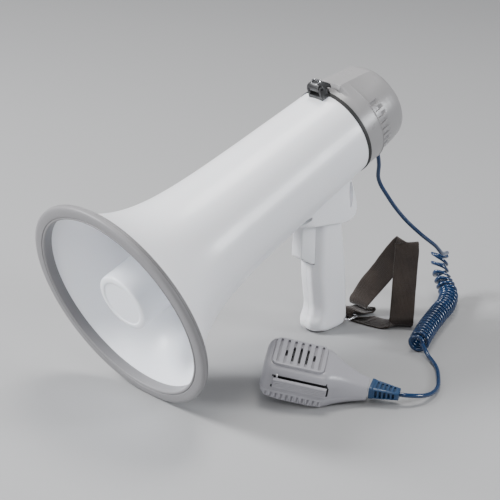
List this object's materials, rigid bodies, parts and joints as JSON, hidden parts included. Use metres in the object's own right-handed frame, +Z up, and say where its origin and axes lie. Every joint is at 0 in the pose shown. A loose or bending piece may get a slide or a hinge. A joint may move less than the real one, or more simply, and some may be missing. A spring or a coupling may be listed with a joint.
{
  "type": "handheld megaphone with a hand microphone",
  "caption": "Handheld megaphone on its grip and rim, with a folded horn, hinged rear cap, trigger, wrist strap and a hand microphone on a curly cord.",
  "frame": {"origin": "middle of the flat foot face of the grip, on the floor, in the plane of symmetry of the horn", "axes": "+Z up with the megaphone resting on its rim and its grip; the mouth faces -Y and the rear cap +Y; +X is the side the microphone lies on"},
  "size_m": [0.3136, 0.5055, 0.2821],
  "materials": {
    "white_plastic": "glossy white ABS",
    "grey_plastic": "satin grey ABS",
    "black_plastic": "satin black nylon",
    "black_rubber": "matt black rubber",
    "blue_cord": "glossy dark blue PVC",
    "steel": "bright plated steel",
    "ferrite": "sintered ferrite",
    "copper": "enamelled copper and phenolic",
    "cell_jacket": "printed film over a steel can",
    "circuit_board": "solder-masked glass epoxy",
    "aluminium": "extruded",
    "webbing": "black-brown nylon webbing, 25 mm"
  },
  "bodies": {
    "horn": {"bell_shell": "white_plastic", "rim_bumper": "grey_plastic", "reflector_cup": "white_plastic", "tone_tube": "white_plastic", "bulkhead": "black_plastic", "bulkhead_screws": "steel", "diaphragm": "copper", "voice_coil": "copper", "top_plate": "steel", "driver_magnet": "ferrite", "driver_yoke": "steel", "driver_screws": "steel", "battery_holder": "black_plastic", "battery_cells": "cell_jacket", "battery_contacts": "steel", "rear_gasket": "black_rubber", "latch_base": "black_plastic", "latch_pin": "steel", "cap_hinge_pin": "steel", "coil_cord": "blue_cord", "grip_left": "white_plastic", "grip_right": "white_plastic", "grip_screws": "steel", "saddle_screws": "steel", "trigger_pin": "steel", "trigger_switch": "black_plastic", "trigger_spring": "steel"},
    "cap": {"rear_cap": "grey_plastic", "cap_rivets": "steel", "amplifier_board": "circuit_board", "heat_sink": "aluminium", "volume_pot": "steel", "cord_gland": "black_rubber", "cord_upper": "blue_cord"},
    "microphone": {"mic_front_shell": "grey_plastic", "mic_back_shell": "grey_plastic", "mic_grille": "black_plastic", "mic_capsule": "steel", "mic_gasket": "black_rubber", "mic_board": "circuit_board", "mic_screws": "steel", "mic_hang_button": "steel", "ptt_pin": "steel", "ptt_switch": "black_plastic", "ptt_spring": "steel", "cord_boot": "blue_cord", "cord_lead": "blue_cord"},
    "knob": {"volume_knob": "black_plastic"},
    "latch": {"latch_lever": "black_plastic"},
    "trigger": {"trigger": "white_plastic"},
    "strap": {"strap_ring": "steel", "wrist_strap": "webbing"},
    "push_to_talk": {"ptt_bar": "grey_plastic"}
  },
  "joints": [
    {"name": "cap_open", "type": "hinge", "parent": "horn", "child": "cap", "pos_m": [0, 0.02555, 0.17023], "axis": [-1, 0, 0], "range_deg": [0, 70], "deforming": ["cord_upper"]},
    {"name": "latch_open", "type": "hinge", "parent": "horn", "child": "latch", "pos_m": [0, -0.0243, 0.27428], "axis": [1, 0, 0], "range_deg": [0, 140]},
    {"name": "volume_turn", "type": "hinge", "parent": "cap", "child": "knob", "pos_m": [0, 0.0727, 0.24614], "axis": [0, 0.9337, 0.358], "range_deg": [0, 300]},
    {"name": "trigger_squeeze", "type": "hinge", "parent": "horn", "child": "trigger", "pos_m": [0, -0.0185, 0.124], "axis": [1, 0, 0], "range_deg": [0, 5], "stiffness_Nm_per_rad": 0.4, "springref_deg": -10, "deforming": ["trigger_spring"]},
    {"name": "strap_swing", "type": "hinge", "parent": "horn", "child": "strap", "pos_m": [0, 0.02, 0.0075], "axis": [1, 0, 0], "range_deg": [0, 35]},
    {"name": "mic_lift", "type": "slide", "parent": "horn", "child": "microphone", "axis": [0, 0, 1], "range_m": [0, 0.1], "deforming": ["coil_cord"]},
    {"name": "push_to_talk_press", "type": "hinge", "parent": "microphone", "child": "push_to_talk", "pos_m": [0.1033, -0.17551, 0.02749], "axis": [0.2126, -0.0327, 0.9766], "range_deg": [0, 3], "stiffness_Nm_per_rad": 0.1, "springref_deg": -8, "deforming": ["ptt_spring"]}
  ],
  "couplings": [
    {"joint": "latch_open", "follows": "cap_open", "ratio": 2}
  ]
}
